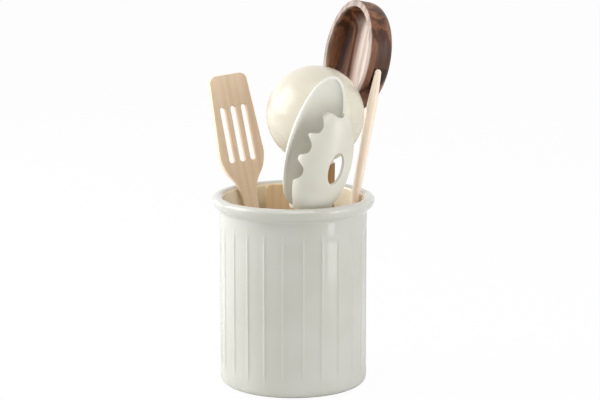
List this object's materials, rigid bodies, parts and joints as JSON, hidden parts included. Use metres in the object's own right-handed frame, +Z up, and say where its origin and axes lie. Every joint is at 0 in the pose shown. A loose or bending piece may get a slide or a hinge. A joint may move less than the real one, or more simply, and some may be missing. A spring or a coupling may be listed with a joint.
{
  "type": "utensil holder",
  "caption": "Fluted stoneware crock with a rolled rim that holds a slotted turner, a scraper, a spoon, a pasta server, a ladle and a walnut scoop, each of which lifts out.",
  "frame": {"origin": "centre of the flat foot of the crock, on the surface that it stands on", "axes": "+Z up along the axis of the crock, -Y towards the viewer of the picture, +X to the viewer's right"},
  "size_m": [0.1687, 0.1888, 0.3434],
  "materials": {
    "glaze": "gloss",
    "beech": "matte",
    "cream_gloss": "gloss",
    "handle_wood": "satin",
    "walnut": "satin",
    "maple": "satin"
  },
  "bodies": {
    "crock": {"crock": "glaze"},
    "turner": {"slotted_turner": "beech"},
    "scraper": {"flat_scraper": "beech"},
    "spoon": {"spoon_head": "cream_gloss", "spoon_handle": "handle_wood"},
    "server": {"server_head": "cream_gloss", "server_handle": "handle_wood"},
    "ladle": {"ladle_bowl": "cream_gloss", "ladle_handle": "handle_wood"},
    "scoop": {"scoop_bowl": "walnut", "scoop_handle": "maple"}
  },
  "joints": [
    {"name": "turner_lift", "type": "slide", "parent": "crock", "child": "turner", "axis": [-0.1858, 0.1786, 0.9662], "range_m": [0, 0.2]},
    {"name": "scraper_lift", "type": "slide", "parent": "crock", "child": "scraper", "axis": [0, 0.0847, 0.9964], "range_m": [0, 0.2]},
    {"name": "spoon_lift", "type": "slide", "parent": "crock", "child": "spoon", "axis": [0.2749, -0.1251, 0.9533], "range_m": [0, 0.2]},
    {"name": "server_lift", "type": "slide", "parent": "crock", "child": "server", "axis": [0.2749, -0.1251, 0.9533], "range_m": [0, 0.2]},
    {"name": "ladle_lift", "type": "slide", "parent": "crock", "child": "ladle", "axis": [0.0259, 0, 0.9997], "range_m": [0, 0.2]},
    {"name": "scoop_lift", "type": "slide", "parent": "crock", "child": "scoop", "axis": [0.1729, 0.0291, 0.9845], "range_m": [0, 0.2]}
  ]
}
